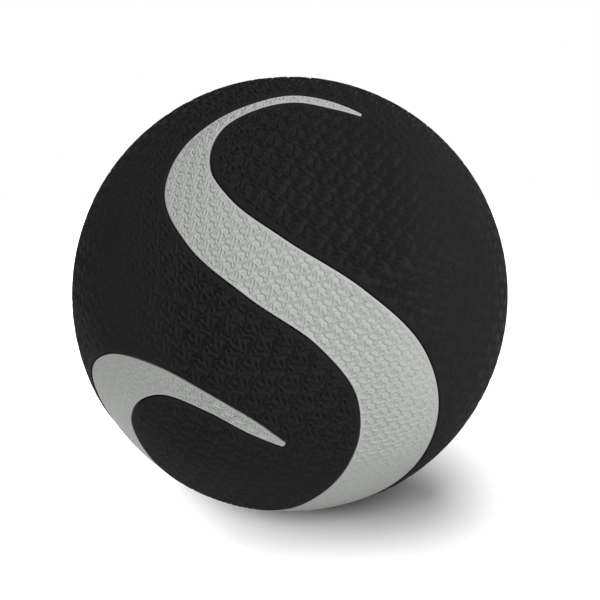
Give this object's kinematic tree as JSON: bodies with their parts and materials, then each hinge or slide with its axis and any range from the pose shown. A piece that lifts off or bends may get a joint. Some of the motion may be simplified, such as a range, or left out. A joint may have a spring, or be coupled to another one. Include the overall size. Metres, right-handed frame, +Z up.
{
  "type": "slam ball",
  "caption": "Round two-tone rubber exercise ball for throwing and slamming, with a textured grip cover, grey swirl inlays, loose sand in a bladder and a plugged filling neck.",
  "frame": {"origin": "middle of the small flat that the ball settles on, straight below the ball's centre", "axes": "+Z up, -Y out of the side with the large S of the grey swirl, +X to the right of someone who looks at it"},
  "size_m": [0.23, 0.23, 0.2294],
  "materials": {
    "black_rubber": "matte, moulded grip",
    "grey_rubber": "matte, moulded grip",
    "wound_cord": "matte, wound",
    "butyl": "satin",
    "dry_sand": "loose grains",
    "neck_rubber": "matte",
    "plug_rubber": "satin",
    "gum_rubber": "satin"
  },
  "bodies": {
    "ball": {"cover_upper": "black_rubber", "cover_lower": "black_rubber", "swirl_front": "grey_rubber", "swirl_rear": "grey_rubber", "wound_carcass": "wound_cord", "bladder": "butyl", "sand": "dry_sand", "fill_neck": "neck_rubber", "neck_patch": "neck_rubber"},
    "plug": {"fill_plug": "plug_rubber", "needle_core": "gum_rubber"}
  },
  "joints": [
    {"name": "plug_pull", "type": "slide", "parent": "ball", "child": "plug", "axis": [-0.5675, 0.6302, 0.5299], "range_m": [0, 0.02]}
  ]
}
